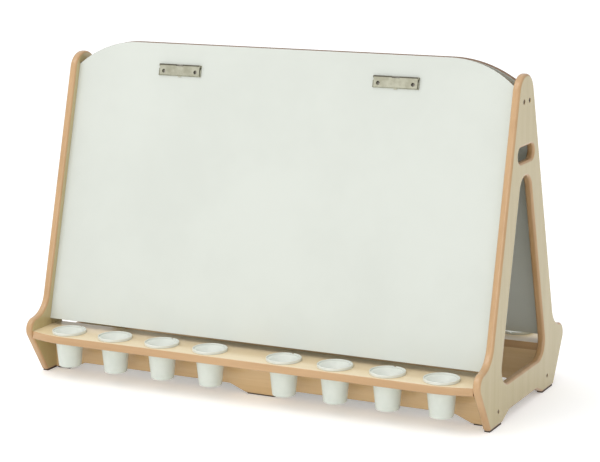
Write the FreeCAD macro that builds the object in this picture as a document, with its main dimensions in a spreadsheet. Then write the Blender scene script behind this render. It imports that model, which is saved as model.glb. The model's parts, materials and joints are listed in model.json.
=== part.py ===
"""Double-sided children's easel with paint pots and paper clips, in millimetres.

The frame: X runs along the width to the right, -Y is the front, +Z is up,
and the origin is on the floor under the middle of the easel.
"""
import FreeCAD, Part
import math
import os
import Sketcher
from FreeCAD import Vector

doc = FreeCAD.newDocument("kids_easel")

# ---------------------------------------------------------------------------
# The sheet of sizes
# ---------------------------------------------------------------------------

SIZES = [
    # frame and side panels
    ("frame_width", 1150, "over the outer faces of the side panels"),
    ("lean_angle", 15, "degrees each board leans from upright"),
    ("panel_height", 750, "floor to the top of a side panel"),
    ("panel_stock", 18, "thickness of a side panel"),
    ("pad_stock", 3, "thickness of the foot pads"),
    ("pad_inset", 2.5, "pads stop short of the foot's edges by this much"),
    ("crown_round", 45, "rounding of a panel's top"),
    ("neck_rise", 36, "from the shelf's top up to the inward corner above the bulge"),
    ("neck_round", 60, "rounding of that corner"),
    ("bulge_overhang", 22.8, "how far the bulge's corners reach past the shelf's ends, before rounding"),
    ("bulge_rise", 21, "from the shelf's top up to the bulge's corners"),
    ("bulge_round", 27, "rounding of the bulge"),
    ("toe_out", 3, "how far a foot's outer end stands out past the neck"),
    ("foot_length", 72, "length of a panel's foot along the floor"),
    ("toe_round", 7, "rounding of a foot's ends"),
    ("arch_run", 42, "level distance a foot's inner slope takes"),
    ("arch_level", 20, "height of the arches under panels and rails"),
    ("arch_round", 18, "rounding where an arch meets its slope"),
    ("edge_round", 6, "rounding of a panel's edges, as far as its stock allows"),
    # openings of a side panel
    ("leg_width", 69, "level width of a panel's leg beside the opening"),
    ("opening_drop", 27, "from the shelf's top down to the opening's floor"),
    ("opening_round", 39, "rounding of the opening's lower corners"),
    ("opening_peak_round", 35.5, "rounding of its peak"),
    ("slot_drop", 175, "from a panel's top down to the hand slot's centre"),
    ("slot_length", 98, "length of the hand slot"),
    ("slot_width", 33, "height of the hand slot"),
    # boards and their battens
    ("board_stock", 9, "thickness of a board"),
    ("board_setback", 18.3, "level distance from a panel's edge to the board face"),
    ("board_lift", 15, "from the shelf's top up to a board's lower front edge"),
    ("crown_rise", 29, "how far the boards rise above the side panels"),
    ("crown_gap", 2.5, "between the two boards at their crowns"),
    ("shoulder_run", 154, "width of the rounded part of a board's top at each end"),
    ("shoulder_round", 232, "radius of a board's shoulders"),
    ("board_edge_round", 0.8, "rounding of a board's edges"),
    ("groove_depth", 6, "depth of the panel grooves that hold the boards"),
    ("groove_play", 0.15, "gap round a board in its groove"),
    ("groove_overrun", 4, "how far a groove runs on past its board"),
    ("batten_stock", 14, "thickness of a top batten"),
    ("batten_width", 40, "width of a top batten up the slope"),
    ("batten_drop", 87.5, "from a board's crown down the slope to a batten's centre"),
    # shelves, rails and dowels
    ("shelf_level", 112, "height of a shelf's top"),
    ("shelf_stock", 18, "thickness of a shelf"),
    ("shelf_lip", 7.5, "from the lids out to a shelf's front edge"),
    ("shelf_end_run", 100, "width of the curved part of that edge at each end"),
    ("shelf_end_round", 290, "radius of the curve at each end of it"),
    ("shelf_edge_round", 2.5, "rounding of a shelf's front edge"),
    ("rail_stock", 18, "thickness of a rail"),
    ("rail_to_cups", 31.3, "from a rail's outer face to the cups"),
    ("rail_end_foot", 39, "length of a rail's end foot"),
    ("rail_middle_foot_half", 38.5, "half the length of its middle foot"),
    ("rail_edge_round", 2, "rounding of a rail's lower edges"),
    ("dowel_width", 8, "diameter of a dowel"),
    ("dowel_in_panel", 12, "length of a dowel in the panel"),
    ("dowel_in_shelf", 20, "length of a dowel in the shelf"),
    ("dowel_setback", 34, "from the shelf's edges to the dowels"),
    ("wood_play", 0.05, "radial gap of dowels and screws in wood"),
    # side screws
    ("top_screw_head", 11.5, "diameter of a batten screw's head"),
    ("rail_screw_head", 9.5, "diameter of a rail screw's head"),
    ("screw_head_stock", 3.2, "height of that head"),
    ("cross_length_share", 0.64, "a screw's cross slot, as a share of its head's width"),
    ("cross_width_share", 0.14, "the width of that slot, as a share of the head's width"),
    ("screw_recess", 0.4, "how far the head lies below the surface"),
    ("screw_width", 4.5, "diameter of a side screw's shank"),
    ("screw_length", 50, "length of a side screw under its head"),
    ("screw_tip_room", 1, "pilot hole beyond a side screw's tip"),
    ("rail_screw_level", 35, "height of the rail screws"),
    # paint pots
    ("pot_first", 94, "middle of the easel to the nearest pot"),
    ("pot_to_panel", 83.5, "side panel to the middle of the outermost pot"),
    ("pot_to_board", 4.85, "from a board's lower edge out to the lids"),
    ("pot_hole_play", 0.5, "radial gap of a cup in its hole"),
    ("cup_rim_reach", 3.8, "how far a cup's rim stands out all round"),
    ("cup_rim_stock", 1.5, "thickness of that rim"),
    ("cup_top_width", 68.4, "diameter of a cup under its rim"),
    ("cup_floor_width", 52.6, "diameter of a cup's floor"),
    ("cup_depth", 80, "length of a cup below its rim"),
    ("cup_wall", 1.5, "wall and floor of a cup"),
    ("cup_floor_round", 4, "rounding round a cup's floor"),
    ("lid_play", 0.3, "gap between a lid and its cup"),
    ("lid_wall", 1.7, "wall of a lid"),
    ("lid_level", 6.5, "top of a lid above the shelf"),
    ("lid_lift", 0.4, "skirt of a lid above the shelf"),
    ("lid_rim_width", 2.2, "width of the raised ring round a lid"),
    ("lid_ledge_width", 5.5, "width of the flat ledge inside that ring"),
    ("brush_hole_width", 22, "diameter of the brush hole"),
    ("funnel_drop", 10.5, "height of the funnel"),
    ("collar_drop", 11, "length of the collar under the funnel"),
    ("lid_rim_round", 0.9, "rounding of the raised ring"),
    ("notch_width", 5, "width of the brush rest in the ring"),
    ("notch_depth", 2.2, "depth of that rest"),
    # paper clips
    ("clip_to_panel", 280, "side panel to a clip's centre"),
    ("clip_drop", 66, "from a board's crown down the slope to a clip's screws"),
    ("clip_width", 112, "a clip over its side flanges"),
    ("clip_steel", 0.8, "thickness of the base plate"),
    ("clip_foot", 10.2, "from the screws down to the plate's lower edge"),
    ("clip_head", 17, "from the screws up to the plate's upper edge"),
    ("flange_reach", 6, "from the screws up to the end of a side flange"),
    ("flange_height", 4.2, "height of a side flange off the board"),
    ("ear_inset", 1, "from a flange's plane in to the ear's"),
    ("ear_length", 5.4, "length of an ear up the slope"),
    ("wire_width", 2.4, "diameter of the hinge wire"),
    ("wire_climb", 15, "from the screws up to the hinge wire"),
    ("wire_height", 4.4, "hinge wire off the board"),
    ("wire_play", 0.06, "radial gap of the wire in the ears"),
    ("jaw_steel", 0.9, "thickness of the jaw"),
    ("jaw_play", 0.1, "radial gap of the jaw's roll on the wire"),
    ("jaw_side_gap", 0.7, "gap between the jaw's ends and the ears"),
    ("jaw_crease", 4, "from the wire down to the jaw's crease"),
    ("jaw_crease_drop", 0.4, "how much nearer the board the jaw is at its crease"),
    ("jaw_foot", 9.6, "from the screws down to the jaw's lip"),
    ("jaw_foot_height", 4.6, "jaw's outer face off the board at its lower bend"),
    ("lip_height", 1.2, "lip off the board"),
    ("lip_slope", 1.2, "how far the lip runs on down the slope below the bend"),
    ("bend_inset", 0.72, "from the lip's outer bend down the slope to its inner bend"),
    ("tab_width", 8, "width of the thumb tab"),
    ("tab_length", 3, "how far the tab stands out below the jaw"),
    ("spring_length", 17, "length of the coil on the hinge wire"),
    ("spring_wire", 0.9, "diameter of the spring's wire"),
    ("spring_pitch", 0.8, "from turn to turn, a little less than the wire so they join"),
    ("spring_leg", 11, "length of the straight leg under the jaw"),
    ("spring_leg_width", 0.86, "diameter of that leg"),
    ("clip_screw_half", 42.5, "a clip's centre to each of its screws"),
    ("clip_screw_head", 7, "diameter of a clip screw's head"),
    ("clip_screw_head_stock", 3, "height of that head"),
    ("clip_screw_width", 3.2, "diameter of a clip screw's shank"),
    ("clip_screw_length", 7.5, "length of its shank"),
    ("clip_screw_play", 0.2, "radial gap of the shank in the base plate"),
    ("screw_window_play", 1, "radial gap of a head in the jaw's window"),
]

DERIVED = [
    ("inner_half", "frame_width / 2 - panel_stock"),
    ("lean_tan", "tan(lean_angle * 1deg)"),
    ("lean_sin", "sin(lean_angle * 1deg)"),
    ("lean_cos", "cos(lean_angle * 1deg)"),
    ("board_level", "shelf_level + board_lift"),
    ("board_length", "(panel_height + crown_rise - board_level) / lean_cos"),
    ("board_foot_y", "crown_gap / 2 + board_stock * lean_cos + board_length * lean_sin"),
    ("crown_half", "board_foot_y + board_setback - (panel_height - board_level) * lean_tan"),
    ("neck_level", "shelf_level + neck_rise"),
    ("bulge_level", "shelf_level + bulge_rise"),
    ("opening_level", "shelf_level - opening_drop"),
    ("slot_level", "panel_height - slot_drop"),
    ("cup_rim_radius", "cup_top_width / 2 + cup_rim_reach"),
    ("lid_skirt_radius", "cup_rim_radius + lid_play"),
    ("lid_radius", "lid_skirt_radius + lid_wall"),
    ("pot_row", "board_foot_y + pot_to_board + lid_radius"),
    ("shelf_front", "pot_row + lid_radius + shelf_lip"),
    ("shelf_straight_half", "inner_half - shelf_end_run"),
    ("shelf_end_front", "shelf_front - shelf_end_round"
     " + sqrt(shelf_end_round ^ 2 - shelf_end_run ^ 2)"),
    ("rail_back", "pot_row - cup_top_width / 2 - rail_to_cups - rail_stock"),
    ("neck_half", "crown_half + (panel_height - neck_level) * lean_tan"),
    ("bulge_half", "shelf_end_front + bulge_overhang"),
    ("toe_half", "neck_half + toe_out"),
    ("heel_half", "toe_half - foot_length"),
    ("arch_half", "heel_half - arch_run"),
    ("opening_foot_half", "crown_half + (panel_height - opening_level) * lean_tan - leg_width"),
    ("opening_peak", "opening_level + opening_foot_half / lean_tan"),
    ("slot_straight_half", "(slot_length - slot_width) / 2"),
    ("slot_bottom", "slot_level - slot_width / 2"),
    ("slot_top", "slot_level + slot_width / 2"),
    ("board_half", "inner_half + groove_depth - groove_play"),
    ("crown_straight_half", "inner_half - shoulder_run"),
    ("shoulder_at_panel", "board_length - shoulder_round"
     " + sqrt(shoulder_round ^ 2 - shoulder_run ^ 2)"),
    ("shoulder_at_edge", "board_length - shoulder_round"
     " + sqrt(shoulder_round ^ 2 - (board_half - crown_straight_half) ^ 2)"),
    ("groove_end", "shoulder_at_panel + groove_overrun"),
    ("groove_back", "board_stock + groove_play"),
    ("groove_low_front_y", "board_foot_y + groove_play * (lean_sin + lean_cos)"),
    ("groove_low_front_z", "board_level + groove_play * (lean_sin - lean_cos)"),
    ("groove_low_back_y", "board_foot_y + groove_play * lean_sin - groove_back * lean_cos"),
    ("groove_low_back_z", "board_level - groove_play * lean_cos - groove_back * lean_sin"),
    ("groove_high_front_y", "board_foot_y - groove_end * lean_sin + groove_play * lean_cos"),
    ("groove_high_front_z", "board_level + groove_end * lean_cos + groove_play * lean_sin"),
    ("groove_high_back_y", "board_foot_y - groove_end * lean_sin - groove_back * lean_cos"),
    ("groove_high_back_z", "board_level + groove_end * lean_cos - groove_back * lean_sin"),
    ("batten_climb", "board_length - batten_drop"),
    ("batten_bottom", "batten_climb - batten_width / 2"),
    ("batten_top", "batten_climb + batten_width / 2"),
    ("batten_middle", "board_stock + batten_stock / 2"),
    ("top_screw_y", "board_foot_y - batten_climb * lean_sin - batten_middle * lean_cos"),
    ("top_screw_z", "board_level + batten_climb * lean_cos - batten_middle * lean_sin"),
    ("rail_screw_y", "rail_back + rail_stock / 2"),
    ("screw_bite", "screw_length - panel_stock + screw_head_stock + screw_recess + screw_tip_room"),
    ("shelf_underside", "shelf_level - shelf_stock"),
    ("dowel_level", "shelf_level - shelf_stock / 2"),
    ("front_dowel_y", "shelf_end_front - dowel_setback"),
    ("back_dowel_y", "rail_back + dowel_setback"),
    ("rail_heel", "inner_half - rail_end_foot"),
    ("rail_arch_outer", "rail_heel - arch_run"),
    ("rail_arch_inner", "rail_middle_foot_half + arch_run"),
    ("pot_pitch", "(inner_half - pot_to_panel - pot_first) / 3"),
    ("pot_1", "pot_first"),
    ("pot_2", "pot_first + pot_pitch"),
    ("pot_3", "pot_first + 2 * pot_pitch"),
    ("pot_4", "pot_first + 3 * pot_pitch"),
    ("cup_top_radius", "cup_top_width / 2"),
    ("cup_floor_radius", "cup_floor_width / 2"),
    ("cup_mouth_radius", "cup_top_radius - cup_wall"),
    ("cup_well_radius", "cup_floor_radius - cup_wall"),
    ("cup_well_level", "cup_wall - cup_depth"),
    ("lid_ring_radius", "lid_radius - lid_rim_width"),
    ("lid_seat", "cup_rim_stock + lid_play"),
    ("lid_ledge_level", "lid_seat + lid_wall"),
    ("lid_ledge_radius", "lid_ring_radius - lid_ledge_width"),
    ("brush_hole_radius", "brush_hole_width / 2"),
    ("collar_radius", "brush_hole_radius + lid_wall"),
    ("funnel_foot", "lid_ledge_level - funnel_drop"),
    ("funnel_under", "funnel_foot - lid_wall / 2"),
    ("funnel_top_radius", "lid_ledge_radius - lid_wall / 2"),
    ("collar_foot", "funnel_foot - collar_drop"),
    ("notch_half", "notch_width / 2"),
    ("notch_inner", "lid_ring_radius - lid_rim_width"),
    ("notch_outer", "lid_radius + lid_wall"),
    ("clip_offset", "inner_half - clip_to_panel"),
    ("clip_climb", "board_length - clip_drop"),
    ("clip_far_screw", "clip_offset + clip_screw_half"),
    ("clip_near_screw", "clip_offset - clip_screw_half"),
    ("clip_half", "clip_width / 2"),
    ("clip_plate_length", "clip_foot + clip_head"),
    ("flange_length", "clip_foot + flange_reach"),
    ("ear_outer", "clip_half - ear_inset"),
    ("jaw_half", "ear_outer - clip_steel - jaw_side_gap"),
    ("wire_radius", "wire_width / 2"),
    ("roll_inner", "wire_radius + jaw_play"),
    ("roll_outer", "roll_inner + jaw_steel"),
    ("jaw_top", "wire_height + roll_outer"),
    ("jaw_top_under", "jaw_top - jaw_steel"),
    ("jaw_crease_climb", "wire_climb - jaw_crease"),
    ("jaw_crease_height", "jaw_top - jaw_crease_drop"),
    ("jaw_crease_under", "jaw_crease_height - jaw_steel"),
    ("jaw_bend", "jaw_foot - lip_slope"),
    ("jaw_foot_under", "jaw_foot_height - jaw_steel"),
    ("jaw_lip_inner", "jaw_foot - jaw_steel"),
    ("jaw_inner_bend", "jaw_bend - bend_inset"),
    ("coil_radius", "roll_outer - spring_wire / 2"),
    ("spring_gap_half", "spring_length / 2 + jaw_side_gap"),
]

sheet = doc.addObject("Spreadsheet::Sheet", "Sizes")


def fill_sheet():
    """Column A is the size's name, B its value or formula, C what it measures."""
    for row, (alias, number, meaning) in enumerate(SIZES, start=1):
        sheet.set("A%d" % row, alias)
        sheet.set("B%d" % row, str(number))
        sheet.set("C%d" % row, meaning)
        sheet.setAlias("B%d" % row, alias)
    for row, (alias, formula) in enumerate(DERIVED, start=len(SIZES) + 2):
        sheet.set("A%d" % row, alias)
        sheet.set("B%d" % row, "=" + formula)
        sheet.setAlias("B%d" % row, alias)
    doc.recompute()


def size(name):
    """The number behind an alias; a leading minus sign turns it round."""
    if name.startswith("-"):
        return -size(name[1:])
    return 0.0 if name == "0" else float(sheet.get(name))


def cell(name):
    """The expression that reads an alias; a leading minus sign is kept."""
    return "-Sizes." + name[1:] if name.startswith("-") else "Sizes." + name


def turned(name):
    """The alias with its sign turned round."""
    return name[1:] if name.startswith("-") else "-" + name


fill_sheet()

SAME_PLACE = 1e-3    # two places closer than this are one
FILLET_SHARE = 0.45  # the most of a wall's thickness that a rounding may take

# ---------------------------------------------------------------------------
# Sketches, features and placements
# ---------------------------------------------------------------------------


def new_body(name):
    body = doc.addObject("PartDesign::Body", name)
    body.Label = name
    return body


def new_sketch(body, plane_role, height=None):
    """A sketch on one of the body's own origin planes, raised by an expression."""
    plane = next(item for item in body.Origin.OriginFeatures if item.Role == plane_role)
    sketch = body.newObject("Sketcher::SketchObject", body.Label + "_sketch")
    sketch.AttachmentSupport = [(plane, "")]
    sketch.MapMode = "FlatFace"
    if height:
        sketch.setExpression("AttachmentOffset.Base.z", height)
    return sketch


def pin_point(sketch, curve, end, point):
    """Fixes one end of a curve to coordinates that are aliases, or '0'."""
    for kind, axis, name in (("DistanceX", -2, point[0]), ("DistanceY", -1, point[1])):
        if name == "0":
            sketch.addConstraint(Sketcher.Constraint("PointOnObject", curve, end, axis))
            continue
        number = sketch.addConstraint(Sketcher.Constraint(kind, -1, 1, curve, end, size(name)))
        sketch.setExpression("Constraints[%d]" % number, cell(name))


def draw_loop(sketch, points, arcs=()):
    """A closed outline through points; arcs says which runs are arcs.

    An arc is (index of its first point, radius alias, +1 if it turns left).
    """
    arc_of = {index: (radius, turn) for index, radius, turn in arcs}
    first = len(sketch.Geometry)
    count = len(points)
    spots = [Vector(size(x), size(y), 0) for x, y in points]
    for index in range(count):
        start, end = spots[index], spots[(index + 1) % count]
        if index in arc_of:
            radius, turn = arc_of[index]
            sketch.addGeometry(arc_between(start, end, size(radius), turn))
        else:
            sketch.addGeometry(Part.LineSegment(start, end))
    for index in range(count):
        curve, before = first + index, first + (index - 1) % count
        start, end = (1, 2) if arc_of.get(index, ("", 1))[1] > 0 else (2, 1)
        end_before = 2 if arc_of.get((index - 1) % count, ("", 1))[1] > 0 else 1
        sketch.addConstraint(Sketcher.Constraint("Coincident", before, end_before, curve, start))
        pin_point(sketch, curve, start, points[index])
        if index in arc_of:
            pin_radius(sketch, curve, size(arc_of[index][0]), cell(arc_of[index][0]))


def arc_between(start, end, radius, turn):
    """The shorter arc of a radius from start to end, turning left if turn is +1."""
    chord = end - start
    across = Vector(-chord.y, chord.x, 0).normalize()
    rise = math.sqrt(max(radius ** 2 - (chord.Length / 2) ** 2, 0))
    centre = start + chord * 0.5 + across * (turn * rise)
    angles = [math.atan2(spot.y - centre.y, spot.x - centre.x) for spot in (start, end)]
    if turn < 0:
        angles.reverse()
    if angles[1] < angles[0]:
        angles[1] += 2 * math.pi
    return Part.ArcOfCircle(Part.Circle(centre, Vector(0, 0, 1), radius), angles[0], angles[1])


def pin_radius(sketch, curve, radius, formula):
    rule = sketch.addConstraint(Sketcher.Constraint("Radius", curve, radius))
    sketch.setExpression("Constraints[%d]" % rule, formula)


def draw_slot(sketch, half_straight, bottom, middle, top):
    """A level slot with half-round ends."""
    radius = size(top) - size(middle)
    ends = []
    for name, start in ((half_straight, -math.pi / 2), (turned(half_straight), math.pi / 2)):
        circle = Part.Circle(Vector(size(name), size(middle), 0), Vector(0, 0, 1), radius)
        curve = sketch.addGeometry(Part.ArcOfCircle(circle, start, start + math.pi))
        pin_point(sketch, curve, 3, (name, middle))
        ends.append(curve)
    for height, right_end, left_end in ((bottom, 1, 2), (top, 2, 1)):
        left = Vector(-size(half_straight), size(height), 0)
        right = Vector(size(half_straight), size(height), 0)
        line = sketch.addGeometry(Part.LineSegment(left, right))
        sketch.addConstraint(Sketcher.Constraint("Tangent", line, 2, ends[0], right_end))
        sketch.addConstraint(Sketcher.Constraint("Tangent", line, 1, ends[1], left_end))
    pin_radius(sketch, ends[0], radius, "%s - %s" % (cell(top), cell(middle)))


def draw_circle(sketch, centre, width, play=None):
    """A circle whose diameter is an alias, wider by a play on its radius if asked."""
    radius = size(width) / 2 + (size(play) if play else 0)
    formula = cell(width) + " / 2" + (" + " + cell(play) if play else "")
    spot = Vector(size(centre[0]), size(centre[1]), 0)
    curve = sketch.addGeometry(Part.Circle(spot, Vector(0, 0, 1), radius))
    pin_point(sketch, curve, 3, centre)
    pin_radius(sketch, curve, radius, formula)


def mirrored(points):
    """The points, then the same ones across the upright axis in reverse order."""
    return points + [(turned(across), up) for across, up in reversed(points)]


def rectangle(left, bottom, right, top):
    return [(left, bottom), (right, bottom), (right, top), (left, top)]


def pad(body, sketch, length, backwards=False):
    feature = body.newObject("PartDesign::Pad", body.Label + "_pad")
    feature.Profile = sketch
    feature.Reversed = backwards
    feature.setExpression("Length", length)
    doc.recompute()
    return feature


def pocket(body, sketch, length=None, backwards=False):
    """Cuts the sketch to a depth, or right through both ways, and makes sure that it cut."""
    before = body.Shape.Volume
    feature = body.newObject("PartDesign::Pocket", body.Label + "_pocket")
    feature.Profile = sketch
    feature.Reversed = backwards
    if length:
        feature.setExpression("Length", length)
    else:
        feature.Type = "ThroughAll"
        feature.Midplane = True
    doc.recompute()
    if body.Shape.Volume > before - 0.1:
        raise RuntimeError("a pocket of %s cut nothing" % body.Label)
    return feature


def revolve(body, sketch):
    feature = body.newObject("PartDesign::Revolution", body.Label + "_revolution")
    feature.Profile = sketch
    feature.ReferenceAxis = (sketch, ["V_Axis"])
    feature.Angle = 360
    doc.recompute()
    return feature


def fillet(body, radius, choose):
    """Rounds the edges of the body's tip that choose() picks out."""
    tip = body.Tip
    names = ["Edge%d" % number for number, edge in enumerate(tip.Shape.Edges, start=1) if choose(edge)]
    if not names:
        raise RuntimeError("no edge of %s to round" % body.Label)
    feature = body.newObject("PartDesign::Fillet", body.Label + "_fillet")
    feature.Base = (tip, names)
    feature.setExpression("Radius", radius)
    doc.recompute()
    return feature


def at_most(radius, wall):
    """A fillet's radius, as long as its wall has room for it on both sides."""
    return "min(%s; %s * %s)" % (cell(radius), cell(wall), FILLET_SHARE)


def near(a, b):
    return abs(a - b) < SAME_PLACE


def corner_edges(axis, places):
    """Picks straight edges along an axis ('x', 'y' or 'z') that pass through the places."""
    across = [name for name in "xyz" if name != axis]
    spots = [tuple(size(name) for name in place) for place in places]

    def choose(edge):
        middle = edge.CenterOfMass
        here = tuple(getattr(middle, name) for name in across)
        runs = near(edge.BoundBox.DiagonalLength, getattr(edge.BoundBox, axis.upper() + "Length"))
        return runs and any(near(here[0], spot[0]) and near(here[1], spot[1]) for spot in spots)

    return choose


def face_edges(axis, *levels):
    """Picks the edges that lie wholly in the planes at the given levels of an axis."""
    low, high = axis.upper() + "Min", axis.upper() + "Max"

    def choose(edge):
        box = edge.BoundBox
        return any(near(getattr(box, low), level) and near(getattr(box, high), level)
                   for level in levels)

    return choose


def at(x, y, z, turn=0, roll="0"):
    """A placement expression: a shift, then a turn about Z and a roll about X."""
    return "placement(vector(%s; %s; %s); rotation(%s; 0; %s))" % (x, y, z, turn, roll)


HALF_TURN = {"front": 0, "rear": 180}


def facing(side):
    """Turns what is built for the front round to its own side."""
    return at(0, 0, 0, HALF_TURN[side])


def on_board(side, x="0", climb="0", height="0"):
    """A frame on a board: X along it, Y up its slope, Z out of its face."""
    foot = at(0, "-Sizes.board_foot_y", "Sizes.board_level", roll="90 - Sizes.lean_angle")
    return " * ".join([facing(side), foot, at(x, climb, height)])


def primitive(kind, name, placement="", **sizes):
    """A Part primitive whose sizes and placement are expressions."""
    thing = doc.addObject("Part::" + kind, name)
    for key, formula in sizes.items():
        thing.setExpression(key, formula)
    if placement:
        thing.setExpression("Placement", placement)
    return thing


def cut(name, base, *tools):
    thing = doc.addObject("Part::Cut", name)
    thing.Base = base
    thing.Tool = tools[0] if len(tools) == 1 else fuse(name + "_tools", *tools)
    return thing


def fuse(name, *shapes):
    thing = doc.addObject("Part::MultiFuse", name)
    thing.Shapes = list(shapes)
    return thing


def group(name, solids):
    """Identical pieces as one sub-part of separate solids."""
    thing = doc.addObject("Part::Compound", name)
    thing.Links = solids
    thing.Label = name
    return thing


def subpart(thing, placement=None):
    """Places a finished sub-part and puts it on the list to be written."""
    if placement:
        thing.setExpression("Placement", placement)
    SUBPARTS.append(thing)
    return thing


SUBPARTS = []
SIDES = ("front", "rear")
HANDS = ("left", "right")
HAND_TURN = {"left": 180, "right": 0}
SCREW_PLACES = [("top_screw_y", "top_screw_z", "top_screw_head"),
                ("rail_screw_y", "rail_screw_level", "rail_screw_head")]
DOWEL_ROWS = ("front_dowel_y", "back_dowel_y")
NOTCH_START = {"front": -60, "rear": -49}  # lids are put back by hand, so each is turned a little
NOTCH_STEP, NOTCH_SPREAD = 47, 90
POT_PLACES = ["-pot_4", "-pot_3", "-pot_2", "-pot_1", "pot_1", "pot_2", "pot_3", "pot_4"]

# ---------------------------------------------------------------------------
# Side panels: local X points out of the easel, from the inner face
# ---------------------------------------------------------------------------


def side_panel(hand):
    body = new_body("side_panel_" + hand)
    outline = [("crown_half", "panel_height"), ("neck_half", "neck_level"),
               ("bulge_half", "bulge_level"), ("toe_half", "pad_stock"),
               ("heel_half", "pad_stock"), ("arch_half", "arch_level")]
    opening = [("opening_foot_half", "opening_level"), ("0", "opening_peak"),
               ("-opening_foot_half", "opening_level")]
    sketch = new_sketch(body, "YZ_Plane")
    draw_loop(sketch, mirrored(outline))
    draw_loop(sketch, opening)
    draw_slot(sketch, "slot_straight_half", "slot_bottom", "slot_level", "slot_top")
    pad(body, sketch, "Sizes.panel_stock")
    rounds = [("crown_round", outline[0:1]), ("neck_round", outline[1:2]),
              ("bulge_round", outline[2:3]), ("toe_round", outline[3:5]),
              ("arch_round", outline[5:6])]
    for radius, corners in rounds:
        both = corners + [(turned(across), up) for across, up in corners]
        fillet(body, "Sizes." + radius, corner_edges("x", both))
    fillet(body, "Sizes.opening_round", corner_edges("x", opening[::2]))
    fillet(body, "Sizes.opening_peak_round", corner_edges("x", opening[1:2]))
    fillet(body, at_most("edge_round", "panel_stock"), face_edges("x", 0, size("panel_stock")))
    for sign in ("", "-"):
        groove = new_sketch(body, "YZ_Plane")
        draw_loop(groove, [(sign + "groove_low_front_y", "groove_low_front_z"),
                           (sign + "groove_high_front_y", "groove_high_front_z"),
                           (sign + "groove_high_back_y", "groove_high_back_z"),
                           (sign + "groove_low_back_y", "groove_low_back_z")])
        pocket(body, groove, "Sizes.groove_depth", backwards=True)
    dowels = [(sign + y, "dowel_level") for y in DOWEL_ROWS for sign in ("", "-")]
    shanks = new_sketch(body, "YZ_Plane")
    heads = new_sketch(body, "YZ_Plane", "Sizes.panel_stock")
    holes = new_sketch(body, "YZ_Plane")
    for y, z, head_width in SCREW_PLACES:
        for sign in ("", "-"):
            draw_circle(shanks, (sign + y, z), "screw_width", "wood_play")
            draw_circle(heads, (sign + y, z), head_width, "wood_play")
    for place in dowels:
        draw_circle(holes, place, "dowel_width", "wood_play")
    pocket(body, shanks, "Sizes.panel_stock", backwards=True)
    pocket(body, heads, "Sizes.screw_head_stock + Sizes.screw_recess")
    pocket(body, holes, "Sizes.dowel_in_panel", backwards=True)
    subpart(body, at(0, 0, 0, HAND_TURN[hand]) + " * " + at("Sizes.inner_half", 0, 0))


def cross_head_screw(name, placement, head_width, head_stock, width, length):
    """Local Z points out of the head, and the head's underside is at Z 0."""
    head = primitive("Cylinder", name + "_head", Radius=head_width + " / 2", Height=head_stock)
    shank = primitive("Cylinder", name + "_shank", at(0, 0, "-" + length),
                      Radius=width + " / 2", Height=length)
    slots = []
    slot_length = "%s * Sizes.cross_length_share" % head_width
    slot_width = "%s * Sizes.cross_width_share" % head_width
    for turn, label in ((45, "a"), (135, "b")):
        middle = at(0, 0, head_stock + " / 2", turn)
        corner = at("-%s / 2" % slot_length, "-%s / 2" % slot_width, 0)
        slots.append(primitive("Box", name + "_slot_" + label, middle + " * " + corner,
                               Length=slot_length, Width=slot_width, Height=head_stock))
    screw = cut(name, fuse(name + "_blank", head, shank), *slots)
    screw.setExpression("Placement", placement)
    return screw


def panel_screws(hand):
    screws = []
    seat = "Sizes.inner_half + Sizes.panel_stock - Sizes.screw_head_stock - Sizes.screw_recess"
    for y, z, head_width in SCREW_PLACES:
        for sign in ("", "-"):
            out = "placement(vector(%s; %s; %s); rotation(0; 90; 0))" % (seat, cell(sign + y), cell(z))
            screws.append(cross_head_screw(
                "screw_%s_%d" % (hand, len(screws) + 1),
                at(0, 0, 0, HAND_TURN[hand]) + " * " + out,
                cell(head_width), "Sizes.screw_head_stock",
                "Sizes.screw_width", "Sizes.screw_length"))
    subpart(group("panel_screws_" + hand, screws))


def panel_foot_pads():
    pads = []
    for hand in HANDS:
        for sign in (1, -1):
            low = "Sizes.heel_half + Sizes.pad_inset" if sign > 0 else "-Sizes.toe_half + Sizes.pad_inset"
            pads.append(primitive(
                "Box", "panel_pad_%d" % (len(pads) + 1),
                at(0, 0, 0, HAND_TURN[hand]) + " * " + at("Sizes.inner_half + Sizes.pad_inset", low, 0),
                Length="Sizes.panel_stock - 2 * Sizes.pad_inset",
                Width="Sizes.foot_length - 2 * Sizes.pad_inset",
                Height="Sizes.pad_stock"))
    subpart(group("panel_foot_pads", pads))


# ---------------------------------------------------------------------------
# Boards and battens: local X along the board, Y up its slope, Z out of its face
# ---------------------------------------------------------------------------


def whiteboard(side):
    body = new_body(side + "_whiteboard")
    outline = [("board_half", "0"), ("board_half", "shoulder_at_edge"),
               ("crown_straight_half", "board_length")]
    sketch = new_sketch(body, "XY_Plane")
    draw_loop(sketch, mirrored(outline), arcs=[(1, "shoulder_round", 1), (3, "shoulder_round", 1)])
    pad(body, sketch, "Sizes.board_stock", backwards=True)
    fillet(body, "Sizes.board_edge_round", face_edges("z", 0, -size("board_stock")))
    pilots = new_sketch(body, "XY_Plane")
    for x in ("-clip_far_screw", "-clip_near_screw", "clip_near_screw", "clip_far_screw"):
        draw_circle(pilots, (x, "clip_climb"), "clip_screw_width", "wood_play")
    pocket(body, pilots, "Sizes.clip_screw_length")
    subpart(body, on_board(side))


def top_batten(side):
    body = new_body(side + "_top_batten")
    sketch = new_sketch(body, "XY_Plane", "-Sizes.board_stock")
    draw_loop(sketch, rectangle("-inner_half", "batten_bottom", "inner_half", "batten_top"))
    pad(body, sketch, "Sizes.batten_stock", backwards=True)
    for sign, backwards in (("", False), ("-", True)):
        pilot = new_sketch(body, "YZ_Plane", cell(sign + "inner_half"))
        draw_circle(pilot, ("batten_climb", "-batten_middle"), "screw_width", "wood_play")
        pocket(body, pilot, "Sizes.screw_bite", backwards=backwards)
    subpart(body, on_board(side))


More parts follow.
